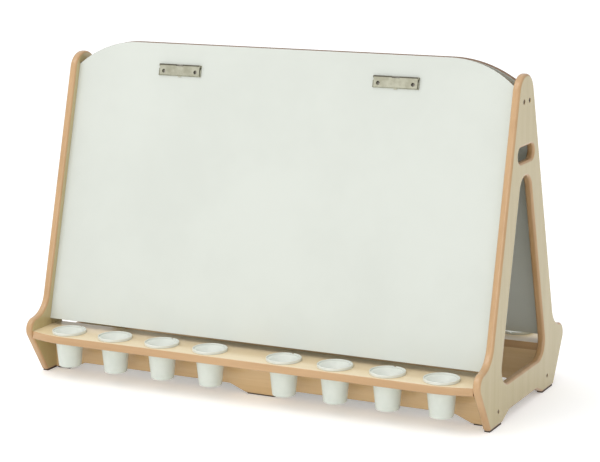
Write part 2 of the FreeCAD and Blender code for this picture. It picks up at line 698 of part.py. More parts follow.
# ---------------------------------------------------------------------------
# Shelves, rails and dowels
# ---------------------------------------------------------------------------


def pot_shelf(side):
    body = new_body(side + "_pot_shelf")
    outline = [("inner_half", "-rail_back"), ("inner_half", "-shelf_end_front"),
               ("shelf_straight_half", "-shelf_front")]
    sketch = new_sketch(body, "XY_Plane", "Sizes.shelf_level")
    draw_loop(sketch, mirrored(outline),
              arcs=[(1, "shelf_end_round", -1), (3, "shelf_end_round", -1)])
    pad(body, sketch, "Sizes.shelf_stock", backwards=True)

    def front_edge(edge):
        return face_edges("z", size("shelf_level"), size("shelf_underside"))(edge) \
            and edge.BoundBox.YMax < -size("shelf_end_front") + SAME_PLACE

    fillet(body, "Sizes.shelf_edge_round", front_edge)
    holes = new_sketch(body, "XY_Plane", "Sizes.shelf_level")
    for place in POT_PLACES:
        draw_circle(holes, (place, "-pot_row"), "cup_top_width", "pot_hole_play")
    pocket(body, holes, "Sizes.shelf_stock")
    for sign, backwards in (("", False), ("-", True)):
        ends = new_sketch(body, "YZ_Plane", cell(sign + "inner_half"))
        for row in DOWEL_ROWS:
            draw_circle(ends, ("-" + row, "dowel_level"), "dowel_width", "wood_play")
        pocket(body, ends, "Sizes.dowel_in_shelf", backwards=backwards)
    subpart(body, facing(side))


def lower_rail(side):
    body = new_body(side + "_lower_rail")
    outline = [("inner_half", "shelf_underside"), ("inner_half", "pad_stock"),
               ("rail_heel", "pad_stock"), ("rail_arch_outer", "arch_level"),
               ("rail_arch_inner", "arch_level"), ("rail_middle_foot_half", "pad_stock")]
    sketch = new_sketch(body, "XZ_Plane", "Sizes.rail_back")
    draw_loop(sketch, mirrored(outline))
    pad(body, sketch, "Sizes.rail_stock")
    corners = [(turned(x) if flip else x, z) for x, z in outline[2:] for flip in (False, True)]
    fillet(body, "Sizes.arch_round", corner_edges("y", corners))
    front, back = -size("rail_back") - size("rail_stock"), -size("rail_back")
    on_faces = face_edges("y", front, back)

    def lower_edge(edge):
        return on_faces(edge) and edge.BoundBox.ZMax < size("arch_level") + SAME_PLACE

    fillet(body, "Sizes.rail_edge_round", lower_edge)
    for sign, backwards in (("", False), ("-", True)):
        pilot = new_sketch(body, "YZ_Plane", cell(sign + "inner_half"))
        draw_circle(pilot, ("-rail_screw_y", "rail_screw_level"), "screw_width", "wood_play")
        pocket(body, pilot, "Sizes.screw_bite", backwards=backwards)
    subpart(body, facing(side))


def rail_foot_pads():
    pads = []
    feet = [("-Sizes.inner_half", "Sizes.rail_end_foot"),
            ("-Sizes.rail_middle_foot_half", "2 * Sizes.rail_middle_foot_half"),
            ("Sizes.rail_heel", "Sizes.rail_end_foot")]
    for side in SIDES:
        for start, length in feet:
            front = "-Sizes.rail_back - Sizes.rail_stock + Sizes.pad_inset"
            pads.append(primitive(
                "Box", "rail_pad_%d" % (len(pads) + 1),
                facing(side) + " * " + at(start + " + Sizes.pad_inset", front, 0),
                Length=length + " - 2 * Sizes.pad_inset",
                Width="Sizes.rail_stock - 2 * Sizes.pad_inset",
                Height="Sizes.pad_stock"))
    subpart(group("rail_foot_pads", pads))


def shelf_dowels():
    dowels = []
    start = "Sizes.inner_half - Sizes.dowel_in_shelf"
    for hand in HANDS:
        for row in DOWEL_ROWS:
            for sign in ("", "-"):
                along = "placement(vector(%s; %s; Sizes.dowel_level); rotation(0; 90; 0))"
                dowels.append(primitive(
                    "Cylinder", "dowel_%d" % (len(dowels) + 1),
                    at(0, 0, 0, HAND_TURN[hand]) + " * " + along % (start, cell(sign + row)),
                    Radius="Sizes.dowel_width / 2",
                    Height="Sizes.dowel_in_shelf + Sizes.dowel_in_panel"))
    subpart(group("shelf_dowels", dowels))


# ---------------------------------------------------------------------------
# Paint pots: local Z up from the shelf's top
# ---------------------------------------------------------------------------


def on_shelf(side, place, turn=0):
    spot = at(cell(place), "-Sizes.pot_row", "Sizes.shelf_level", turn)
    return facing(side) + " * " + spot


def circle_at(*rings):
    """Picks circular edges by (radius alias, level alias)."""
    wanted = [(size(radius), size(level)) for radius, level in rings]

    def choose(edge):
        box = edge.BoundBox
        return any(near(box.XMax, radius) and near(box.ZMin, level) and near(box.ZMax, level)
                   for radius, level in wanted)

    return choose


def cup(side, number, place):
    body = new_body("%s_cup_%d" % (side, number))
    sketch = new_sketch(body, "XZ_Plane")
    draw_loop(sketch, [("0", "-cup_depth"), ("cup_floor_radius", "-cup_depth"),
                       ("cup_top_radius", "0"), ("cup_rim_radius", "0"),
                       ("cup_rim_radius", "cup_rim_stock"), ("cup_mouth_radius", "cup_rim_stock"),
                       ("cup_well_radius", "cup_well_level"), ("0", "cup_well_level")])
    revolve(body, sketch)
    fillet(body, "Sizes.cup_floor_round", circle_at(("cup_floor_radius", "-cup_depth")))
    fillet(body, "Sizes.cup_floor_round - Sizes.cup_wall",
           circle_at(("cup_well_radius", "cup_well_level")))
    subpart(body, on_shelf(side, place))


def lid(side, number, place):
    """A non-spill lid: a raised ring, a ledge, and a funnel down to the brush hole."""
    body = new_body("%s_lid_%d" % (side, number))
    sketch = new_sketch(body, "XZ_Plane")
    draw_loop(sketch, [("lid_radius", "lid_lift"), ("lid_radius", "lid_level"),
                       ("lid_ring_radius", "lid_level"), ("lid_ring_radius", "lid_ledge_level"),
                       ("lid_ledge_radius", "lid_ledge_level"),
                       ("brush_hole_radius", "funnel_foot"), ("brush_hole_radius", "collar_foot"),
                       ("collar_radius", "collar_foot"), ("collar_radius", "funnel_under"),
                       ("funnel_top_radius", "lid_seat"), ("lid_skirt_radius", "lid_seat"),
                       ("lid_skirt_radius", "lid_lift")])
    revolve(body, sketch)
    fillet(body, at_most("lid_rim_round", "lid_rim_width"),
           circle_at(("lid_radius", "lid_level"), ("lid_ring_radius", "lid_level")))
    notch = new_sketch(body, "XY_Plane", "Sizes.lid_level")
    draw_loop(notch, rectangle("-notch_half", "notch_inner", "notch_half", "notch_outer"))
    pocket(body, notch, "Sizes.notch_depth")
    turn = NOTCH_START[side] + (number * NOTCH_STEP) % NOTCH_SPREAD
    subpart(body, on_shelf(side, place, turn))


# ---------------------------------------------------------------------------
# Paper clips: local X along the board, Y up its slope from the screws, Z out
# ---------------------------------------------------------------------------


def on_clip(side, hand, x="0", climb="0", height="0"):
    across = "-Sizes.clip_offset" if hand == "left" else "Sizes.clip_offset"
    return on_board(side, across, "Sizes.clip_climb") + " * " + at(x, climb, height)


def across_clip(x, climb, height):
    """A placement that turns a cylinder's axis along X."""
    return "placement(vector(%s; %s; %s); rotation(0; 90; 0))" % (x, climb, height)


def clip_base(side, hand):
    """Base plate with a low flange and a wire ear at each end."""
    name = "%s_clip_base_%s" % (side, hand)
    plate = primitive("Box", name + "_plate", at("-Sizes.clip_half", "-Sizes.clip_foot", 0),
                      Length="Sizes.clip_width", Width="Sizes.clip_plate_length",
                      Height="Sizes.clip_steel")
    solids = [plate]
    ear_foot = "Sizes.clip_head - Sizes.ear_length"
    ear_height = "Sizes.wire_height + Sizes.ear_length / 2"
    for label, flange_x, ear_x in (
            ("left", "-Sizes.clip_half", "-Sizes.ear_outer"),
            ("right", "Sizes.clip_half - Sizes.clip_steel", "Sizes.ear_outer - Sizes.clip_steel")):
        solids.append(primitive(
            "Box", name + "_flange_" + label, at(flange_x, "-Sizes.clip_foot", 0),
            Length="Sizes.clip_steel", Width="Sizes.flange_length", Height="Sizes.flange_height"))
        solids.append(primitive(
            "Box", name + "_ear_" + label, at(ear_x, ear_foot, 0),
            Length="Sizes.clip_steel", Width="Sizes.ear_length", Height=ear_height))
    holes = [primitive(
        "Cylinder", name + "_wire_hole",
        across_clip("-Sizes.clip_width", "Sizes.wire_climb", "Sizes.wire_height"),
        Radius="Sizes.wire_radius + Sizes.wire_play", Height="2 * Sizes.clip_width")]
    for label, sign in (("left", "-"), ("right", "")):
        holes.append(primitive(
            "Cylinder", name + "_screw_hole_" + label,
            at(sign + "Sizes.clip_screw_half", 0, "-Sizes.clip_steel"),
            Radius="Sizes.clip_screw_width / 2 + Sizes.clip_screw_play",
            Height="3 * Sizes.clip_steel"))
    base = cut(name, fuse(name + "_blank", *solids), *holes)
    subpart(base, on_clip(side, hand))


def clip_jaw(side, hand):
    """The sprung cover: a roll round the wire, a creased plate, a lip and a thumb tab."""
    name = "%s_clip_jaw_%s" % (side, hand)
    body = new_body(name + "_plate")
    sketch = new_sketch(body, "YZ_Plane", "-Sizes.jaw_half")
    draw_loop(sketch, [("wire_climb", "jaw_top"), ("jaw_crease_climb", "jaw_crease_height"),
                       ("-jaw_bend", "jaw_foot_height"), ("-jaw_foot", "lip_height"),
                       ("-jaw_lip_inner", "lip_height"), ("-jaw_inner_bend", "jaw_foot_under"),
                       ("jaw_crease_climb", "jaw_crease_under"), ("wire_climb", "jaw_top_under")])
    pad(body, sketch, "2 * Sizes.jaw_half")
    roll = primitive("Cylinder", name + "_roll",
                     across_clip("-Sizes.jaw_half", "Sizes.wire_climb", "Sizes.wire_height"),
                     Radius="Sizes.roll_outer", Height="2 * Sizes.jaw_half")
    tab = primitive("Box", name + "_tab",
                    at("-Sizes.tab_width / 2", "-Sizes.jaw_foot - Sizes.tab_length", "Sizes.lip_height"),
                    Length="Sizes.tab_width", Width="Sizes.tab_length + Sizes.jaw_steel",
                    Height="Sizes.jaw_steel")
    bore = primitive("Cylinder", name + "_bore",
                     across_clip("-Sizes.clip_width", "Sizes.wire_climb", "Sizes.wire_height"),
                     Radius="Sizes.roll_inner", Height="2 * Sizes.clip_width")
    spring_room = primitive(
        "Box", name + "_spring_room",
        at("-Sizes.spring_gap_half", "Sizes.wire_climb - Sizes.roll_outer - Sizes.jaw_play", 0),
        Length="2 * Sizes.spring_gap_half", Width="Sizes.wire_climb", Height="Sizes.clip_width")
    windows = [primitive(
        "Cylinder", name + "_window_" + label, at(sign + "Sizes.clip_screw_half", 0, 0),
        Radius="Sizes.clip_screw_head / 2 + Sizes.screw_window_play", Height="Sizes.clip_width")
        for label, sign in (("left", "-"), ("right", ""))]
    jaw = cut(name, fuse(name + "_blank", body, roll, tab), bore, spring_room, *windows)
    subpart(jaw, on_clip(side, hand))


def clip_wires():
    wires = [primitive(
        "Cylinder", "wire_%s_%s" % (side, hand),
        on_clip(side, hand) + " * "
        + across_clip("-Sizes.clip_half", "Sizes.wire_climb", "Sizes.wire_height"),
        Radius="Sizes.wire_radius", Height="Sizes.clip_width")
        for side in SIDES for hand in HANDS]
    subpart(group("clip_hinge_wires", wires))


def clip_spring(side, hand):
    """A close-wound coil round the hinge wire, drawn as joined rings, with one straight leg."""
    name = "spring_%s_%s" % (side, hand)
    turns = int((size("spring_length") - size("spring_wire")) / size("spring_pitch")) + 1
    pieces = []
    for turn in range(turns):
        x = "%s * Sizes.spring_pitch" % (turn - (turns - 1) / 2)
        pieces.append(primitive(
            "Torus", "%s_ring_%d" % (name, turn + 1),
            across_clip(x, "Sizes.wire_climb", "Sizes.wire_height"),
            Radius1="Sizes.coil_radius", Radius2="Sizes.spring_wire / 2"))
    leg_x = "%s * Sizes.spring_pitch" % ((1 - turns) / 2)
    leg_height = "Sizes.wire_height - Sizes.coil_radius"
    pieces.append(primitive(
        "Cylinder", name + "_leg",
        "placement(vector(%s; Sizes.wire_climb; %s); rotation(0; 0; 90))" % (leg_x, leg_height),
        Radius="Sizes.spring_leg_width / 2", Height="Sizes.spring_leg"))
    spring = fuse(name, *pieces)
    spring.setExpression("Placement", on_clip(side, hand))
    return spring


def clip_screws():
    screws = []
    for side in SIDES:
        for hand in HANDS:
            for sign in ("-", ""):
                screws.append(cross_head_screw(
                    "clip_screw_%d" % (len(screws) + 1),
                    on_clip(side, hand, sign + "Sizes.clip_screw_half", "0", "Sizes.clip_steel"),
                    "Sizes.clip_screw_head", "Sizes.clip_screw_head_stock",
                    "Sizes.clip_screw_width", "Sizes.clip_screw_length"))
    subpart(group("clip_screws", screws))


# ---------------------------------------------------------------------------
# The easel
# ---------------------------------------------------------------------------


def build_easel():
    for hand in HANDS:
        side_panel(hand)
        panel_screws(hand)
    panel_foot_pads()
    rail_foot_pads()
    shelf_dowels()
    for side in SIDES:
        whiteboard(side)
        top_batten(side)
        pot_shelf(side)
        lower_rail(side)
        for number, place in enumerate(POT_PLACES, start=1):
            cup(side, number, place)
            lid(side, number, place)
        for hand in HANDS:
            clip_base(side, hand)
            clip_jaw(side, hand)
    clip_wires()
    subpart(group("clip_springs", [clip_spring(side, hand) for side in SIDES for hand in HANDS]))
    clip_screws()


def check_and_write():
    """Refuses failed or empty shapes, then writes one STEP file for each sub-part."""
    doc.recompute()
    for thing in doc.Objects:
        if "Invalid" in thing.State or "Error" in thing.State:
            raise RuntimeError("%s failed: %s" % (thing.Label, thing.State))
    for thing in SUBPARTS:
        if thing.Shape.isNull() or not thing.Shape.isValid():
            raise RuntimeError("%s has no valid shape" % thing.Label)
    os.makedirs("parts", exist_ok=True)
    for thing in SUBPARTS:
        thing.Shape.exportStep(os.path.join("parts", thing.Label + ".step"))
    print("%d sub-parts written" % len(SUBPARTS))


build_easel()
check_and_write()
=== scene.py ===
# %% [markdown]
# # A double-sided children's easel
# Two leaning whiteboards stand between A-shaped side panels. A shelf under each
# board holds eight lidded paint pots, and two spring clips at the top of each
# board hold the paper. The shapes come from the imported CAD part, in metres, with
# X along the width, -Y at the front and Z up. This file gives them their finishes,
# coils the clip springs and makes the screws, then sets the studio round them.

# %% Load the frame
import json
import math

import bpy
from mathutils import Matrix, Vector


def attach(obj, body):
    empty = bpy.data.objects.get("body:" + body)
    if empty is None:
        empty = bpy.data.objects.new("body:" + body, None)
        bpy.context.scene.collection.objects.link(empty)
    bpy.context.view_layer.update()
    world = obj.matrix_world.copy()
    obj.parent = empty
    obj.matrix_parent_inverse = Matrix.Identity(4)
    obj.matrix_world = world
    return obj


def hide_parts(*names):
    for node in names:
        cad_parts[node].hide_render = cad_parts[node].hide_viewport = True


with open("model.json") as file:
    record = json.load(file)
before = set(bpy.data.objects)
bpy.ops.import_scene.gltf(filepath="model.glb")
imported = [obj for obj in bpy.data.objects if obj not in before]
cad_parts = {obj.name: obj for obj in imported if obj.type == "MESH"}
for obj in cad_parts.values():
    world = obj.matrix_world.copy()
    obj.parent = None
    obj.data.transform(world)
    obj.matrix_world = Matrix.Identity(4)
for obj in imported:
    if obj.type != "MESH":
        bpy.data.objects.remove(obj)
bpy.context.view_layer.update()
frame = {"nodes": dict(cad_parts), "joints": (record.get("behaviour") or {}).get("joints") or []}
nodes = frame["nodes"]
MM = 0.001
SIDES = ("front", "rear")
HANDS = ("left", "right")

# %% [markdown]
# ## Writing a finish
# A shader is a net of small nodes, and wiring it by hand takes a line for each
# wire. Here a Signal wraps a socket, so sums are written as sums, and a Finish
# holds one material and has a single method that adds any other node.

# %% Signals and finishes


class Signal:
    """A shader socket that can be used in sums."""

    def __init__(self, finish, socket):
        self.finish = finish
        self.socket = socket

    def _sum(self, operation, *values):
        inputs = dict(enumerate(values))
        return self.finish.node("ShaderNodeMath", {"operation": operation}, inputs)

    def __add__(self, other):
        return self._sum("ADD", self, other)

    def __sub__(self, other):
        return self._sum("SUBTRACT", self, other)

    def __rsub__(self, other):
        return self._sum("SUBTRACT", other, self)

    def __mul__(self, other):
        return self._sum("MULTIPLY", self, other)

    def __abs__(self):
        return self._sum("ABSOLUTE", self)

    __radd__ = __add__
    __rmul__ = __mul__

    def rise(self, low, high):
        """0 below low, 1 above high, and a smooth step between them."""
        settings = {"interpolation_type": "SMOOTHSTEP"}
        return self.finish.node("ShaderNodeMapRange", settings,
                                {"Value": self, "From Min": low, "From Max": high})


class Finish:
    """One material with a Principled shader, and short ways to feed it."""

    def __init__(self, name, roughness, metallic=0.0, coat=0.0, coat_roughness=0.1):
        self.material = bpy.data.materials.new(name)
        self.material.use_nodes = True
        self.tree = self.material.node_tree
        self.shader = self.tree.nodes["Principled BSDF"]
        self.shader.inputs["Roughness"].default_value = roughness
        self.shader.inputs["Metallic"].default_value = metallic
        self.shader.inputs["Coat Weight"].default_value = coat
        self.shader.inputs["Coat Roughness"].default_value = coat_roughness

    def node(self, kind, settings=None, inputs=None, output=0):
        """Adds a node, with its settings first, then its sockets' values or links."""
        made = self.tree.nodes.new(kind)
        for key, value in (settings or {}).items():
            if key == "stops":
                self._set_ramp(made.color_ramp, value)
            else:
                setattr(made, key, value)
        for key, value in (inputs or {}).items():
            if isinstance(value, Signal):
                self.tree.links.new(value.socket, made.inputs[key])
            else:
                made.inputs[key].default_value = value
        return Signal(self, made.outputs[output])

    def _set_ramp(self, ramp, stops):
        while len(ramp.elements) < len(stops):
            ramp.elements.new(0.5)
        for element, (place, colour) in zip(ramp.elements, stops):
            element.position = place
            element.color = colour

    def place(self, scale=(1, 1, 1)):
        """Object coordinates, stretched by a scale for each axis."""
        spot = self.node("ShaderNodeTexCoord", output="Object")
        return self.node("ShaderNodeMapping", None, {"Vector": spot, "Scale": scale})

    def noise(self, where, scale, detail=3.0, roughness=0.5):
        return self.node("ShaderNodeTexNoise", None,
                         {"Vector": where, "Scale": scale, "Detail": detail, "Roughness": roughness})

    def mix(self, share, first, second):
        """A colour part of the way from first to second."""
        return self.node("ShaderNodeMix", {"data_type": "RGBA"}, {0: share, 6: first, 7: second}, 2)

    def along(self, direction):
        """How far a point lies along a direction, in metres."""
        spot = self.node("ShaderNodeTexCoord", output="Object")
        return self.node("ShaderNodeVectorMath", {"operation": "DOT_PRODUCT"},
                         {0: spot, 1: direction}, "Value")

    def feed(self, socket, signal):
        self.tree.links.new(signal.socket, self.shader.inputs[socket])

    def bump(self, height, depth, strength=1.0):
        """Dents the surface by a height signal, at most depth metres deep."""
        self.feed("Normal", self.node("ShaderNodeBump", None,
                                      {"Height": height, "Distance": depth, "Strength": strength}))


def paint(code):
    """A linear colour from its usual hexadecimal code."""
    parts = [int(code[start:start + 2], 16) / 255 for start in (1, 3, 5)]
    linear = [part / 12.92 if part <= 0.04045 else ((part + 0.055) / 1.055) ** 2.4 for part in parts]
    return (*linear, 1.0)


def dress(finish, *names):
    """Gives nodes a finish in place of the plain one they were packed with."""
    for name in names:
        mesh = nodes[name].data
        mesh.materials.clear()
        mesh.materials.append(finish.material)


def span(name, direction):
    """The lowest and highest point of a node along a direction."""
    reach = [vertex.co.dot(Vector(direction)) for vertex in nodes[name].data.vertices]
    return min(reach), max(reach)


# %% [markdown]
# ## Lacquered board
# The side panels, shelves and rails are cut from 18 mm board with a pale maple
# face and a warmer edge, under a satin lacquer. The grain is noise stretched along
# the board's length. Because each face lies at a known depth, the edge's tone
# starts where the depth leaves the face, so one material covers face and edge.

# %% The board's finish
# Painted light: the panels' face tone is darkened as painted shade, and the shelves' tone is lightened
# as a painted highlight for the whiteboards' reflection on their tops.
PANEL_SHADED_TONES = paint("#C0B081"), paint("#B8A776")
SHELF_LIT_TONES = paint("#F0DCB6"), paint("#E8D2A8")
RAIL_TONES = paint("#DDBD8C"), paint("#D3B07E")
EDGE_TONES = paint("#C09A6D"), paint("#B48D5F")
PORE = paint("#A98B5F")
BANDS_PER_METRE, STREAKS_PER_METRE, PORES_PER_METRE = 26, 190, 620
PORE_STRENGTH = 0.16
GRAIN_DEPTH = 0.05 * MM
AXES = {"X": (1, 0, 0), "Y": (0, 1, 0), "Z": (0, 0, 1)}


def stretched(grain, fine, long):
    """A scale for each axis: fine across the grain, long and slow along it."""
    return [long if axis == grain else fine for axis in "XYZ"]


def board_finish(name, across, grain, tones, face_skin=0.5 * MM):
    """A lacquered board whose faces lie across one axis and whose grain runs along another."""
    finish = Finish(name + "_lacquer", roughness=0.42, coat=0.8, coat_roughness=0.14)
    low, high = span(name, AXES[across])
    middle, half = (low + high) / 2, (high - low) / 2
    from_middle = abs(finish.along(AXES[across]) - middle)
    edge = 1 - from_middle.rise(half - 0.6 * face_skin, half - 0.1 * face_skin)
    bands = finish.noise(finish.place(stretched(grain, 1, 0.09)), BANDS_PER_METRE, 4, 0.55)
    streaks = finish.noise(finish.place(stretched(grain, 1, 0.02)), STREAKS_PER_METRE, 3, 0.6)
    dots = finish.noise(finish.place(stretched(grain, 1, 0.035)), PORES_PER_METRE, 2, 0.5)
    pores = dots.rise(0.60, 0.74)
    tone = (bands * 0.7 + streaks * 0.3).rise(0.32, 0.68)
    face_colour = finish.mix(tone, *tones)
    face_colour = finish.mix(pores * PORE_STRENGTH, face_colour, PORE)
    edge_colour = finish.mix(tone, *EDGE_TONES)
    finish.feed("Base Color", finish.mix(edge, face_colour, edge_colour))
    finish.feed("Roughness", 0.38 + streaks * 0.12 - edge * 0.06)
    finish.bump(streaks * 0.5 - pores, GRAIN_DEPTH)
    dress(finish, name)
    print(name, "lacquered, faces", round((high - low) / MM, 1), "mm apart")


for hand in HANDS:
    board_finish("side_panel_" + hand, across="X", grain="Z", tones=PANEL_SHADED_TONES)
for side in SIDES:
    board_finish(side + "_pot_shelf", across="Z", grain="X", tones=SHELF_LIT_TONES)
    board_finish(side + "_lower_rail", across="Y", grain="X", tones=RAIL_TONES)

# %% [markdown]
# ## Plain wood
# The battens behind the boards and the dowels in the shelves are hardwood strip
# with no face layer, so the same grain runs right through them.

# %% Battens and dowels


def strip_finish(name, pale, warm):
    """Bare strip wood whose grain runs along X."""
    finish = Finish(name, roughness=0.6)
    bands = finish.noise(finish.place(stretched("X", 1, 0.06)), 60, 4, 0.6)
    pores = finish.noise(finish.place(stretched("X", 1, 0.03)), 500, 2, 0.5).rise(0.58, 0.72)
    colour = finish.mix(bands.rise(0.35, 0.65), pale, warm)
    finish.feed("Base Color", finish.mix(pores * 0.35, colour, PORE))
    finish.feed("Roughness", 0.52 + bands * 0.16)
    finish.bump(bands * 0.4 - pores, 0.06 * MM)
    return finish


dress(strip_finish("batten_wood", paint("#D8BE90"), paint("#C3A272")),
      *[side + "_top_batten" for side in SIDES])
dress(strip_finish("dowel_wood", paint("#D2B380"), paint("#BD9A66")), "shelf_dowels")
print("battens and dowels grained along X")

# %% [markdown]
# ## Whiteboards
# A whiteboard is hardboard between two thin skins of glossy white melamine, and a
# dry eraser leaves it faintly clouded. Its brown core shows only on the edges. The
# depth below the face says which part of the edge is skin and which is core, so no
# second mesh or painted map is needed.

# %% Whiteboard faces
LEAN = math.radians(15)
OUTWARD = {"front": (0, -math.cos(LEAN), math.sin(LEAN)), "rear": (0, math.cos(LEAN), math.sin(LEAN))}
UPWARD = {"front": (0, math.sin(LEAN), math.cos(LEAN)), "rear": (0, -math.sin(LEAN), math.cos(LEAN))}
SKIN = 0.35 * MM


def whiteboard_finish(side):
    """White skins with a brown core between them, told apart by depth."""
    name = side + "_whiteboard"
    finish = Finish(name + "_melamine", roughness=0.3, coat=0.3, coat_roughness=0.12)
    low, high = span(name, OUTWARD[side])
    depth = high - finish.along(OUTWARD[side])
    thickness = high - low
    core = depth.rise(SKIN * 0.8, SKIN) - depth.rise(thickness - SKIN, thickness - SKIN * 0.8)
    clouds = finish.noise(finish.place(), 3.2, 4, 0.6)
    wiped = finish.noise(finish.place((1, 3, 3)), 14, 3, 0.55)
    fibre = finish.noise(finish.place(), 900, 2, 0.6)
    white = finish.mix(clouds.rise(0.35, 0.65), paint("#CDD1C9"), paint("#C9CDC5"))
    brown = finish.mix(fibre, paint("#6E5440"), paint("#85684F"))
    finish.feed("Base Color", finish.mix(core, white, brown))
    finish.feed("Roughness", 0.27 + wiped * 0.1 + core * 0.45)
    finish.bump(fibre * core, 0.08 * MM)
    dress(finish, name)
    print(name, round(thickness / MM, 2), "mm thick, with a brown core")


for side in SIDES:
    whiteboard_finish(side)

# %% [markdown]
# ## Paint pots
# Cups and lids are moulded in milky polypropylene: the light goes a little way
# in, so the shadows stay soft. The cups are a touch greyer than the lids as
# painted shade on their sides, and a fine orange-peel texture breaks up the gloss.

# %% Cups and lids


LIGHT_DEPTH = 2.5 * MM


def milky_finish(name, colour, cloud, roughness):
    """Moulded plastic that lets light a little way in, the same way for every colour."""
    finish = Finish(name, roughness=roughness)
    shader = finish.shader.inputs
    shader["Subsurface Weight"].default_value = 0.25
    shader["Subsurface Scale"].default_value = LIGHT_DEPTH
    shader["Subsurface Radius"].default_value = (1, 1, 1)
    clouding = finish.noise(finish.place(), 40, 3, 0.5)
    peel = finish.noise(finish.place(), 1400, 2, 0.5)
    finish.feed("Base Color", finish.mix(clouding.rise(0.3, 0.7), colour, cloud))
    finish.feed("Roughness", roughness + clouding * 0.1)
    finish.bump(peel, 0.015 * MM)
    return finish


# Painted shade: the cups are given greyer colours than the lids.
cup_finish_shaded = milky_finish("cup_plastic", paint("#D3D8CF"), paint("#CDD3CA"), 0.30)
lid_finish = milky_finish("lid_plastic", paint("#DADDD5"), paint("#D5D9D1"), 0.26)
for side in SIDES:
    dress(cup_finish_shaded, *["%s_cup_%d" % (side, number) for number in range(1, 9)])
    dress(lid_finish, *["%s_lid_%d" % (side, number) for number in range(1, 9)])
print("16 cups and 16 lids are milky plastic")

# %% [markdown]
# ## Metal
# The clips are pressed steel with satin nickel plating. Brushing leaves streaks
# along the clip, which are noise stretched along X, and handling dulls it in
# patches. The hinge wires, springs and screws are plainer, darker steel. Where a
# jaw rolls round its wire, painted shade makes a dark line along the clip's top.

# %% Plated steel
ROLL_WIDTH = 3.9 * MM
# Painted shade: the colour and strength of the dark line along each jaw's roll.
ROLL_SHADE, ROLL_SHADE_STRENGTH = paint("#3A342C"), 0.85
NICKEL_TONES = paint("#C0BFAC"), paint("#A9A793")


def plated_finish(name, bright, dull, roughness, brushed=0.03):
    """Metal with fine streaks, stretched along X where brushed is below 1."""
    finish = Finish(name, roughness=roughness, metallic=1.0)
    streaks = finish.noise(finish.place((brushed, 1, 1)), 900, 3, 0.6)
    patches = finish.noise(finish.place(), 55, 3, 0.6)
    colour = finish.mix(patches.rise(0.3, 0.7), bright, dull)
    finish.feed("Base Color", colour)
    finish.feed("Roughness", roughness + streaks * 0.14 + patches * 0.1 - 0.1)
    finish.bump(streaks, 0.01 * MM)
    return finish, colour


def jaw_finish(side):
    """Nickel with painted shade along the top, where the jaw rolls round its wire."""
    finish, colour = plated_finish(side + "_jaw_nickel", *NICKEL_TONES, 0.34)
    high = span("%s_clip_jaw_left" % side, UPWARD[side])[1]
    # Painted shade: a dark band along the jaw's top, where it rolls round its wire.
    unlit = finish.along(UPWARD[side]).rise(high - ROLL_WIDTH, high - 0.8 * ROLL_WIDTH)
    finish.feed("Base Color", finish.mix(unlit * ROLL_SHADE_STRENGTH, colour, ROLL_SHADE))
    return finish


nickel = plated_finish("nickel_steel", *NICKEL_TONES, 0.34)[0]
wire_steel = plated_finish("wire_steel", paint("#A5A198"), paint("#8C877D"), 0.3, brushed=1)[0]
zinc = plated_finish("zinc_screw", paint("#8F8A82"), paint("#6F6A63"), 0.36, brushed=1)[0]
for side in SIDES:
    dress(nickel, *["%s_clip_base_%s" % (side, hand) for hand in HANDS])
    dress(jaw_finish(side), *["%s_clip_jaw_%s" % (side, hand) for hand in HANDS])
dress(wire_steel, "clip_hinge_wires")
print("clips plated, with an oiled roll", ROLL_WIDTH / MM, "mm wide")

# %% [markdown]
# ## Springs and screws
# Four coil springs close the clips, and sixteen screws with a domed head and a
# cross slot hold the easel together. The CAD part draws them plainly, because
# only their size matters there. Here each kind is one Geometry Nodes tree that
# makes the shape once and puts a copy on every point it is given. The points are
# measured on the CAD pieces, so they stay right if the part changes.

# %% A tree of geometry nodes


SHARP = math.radians(35)


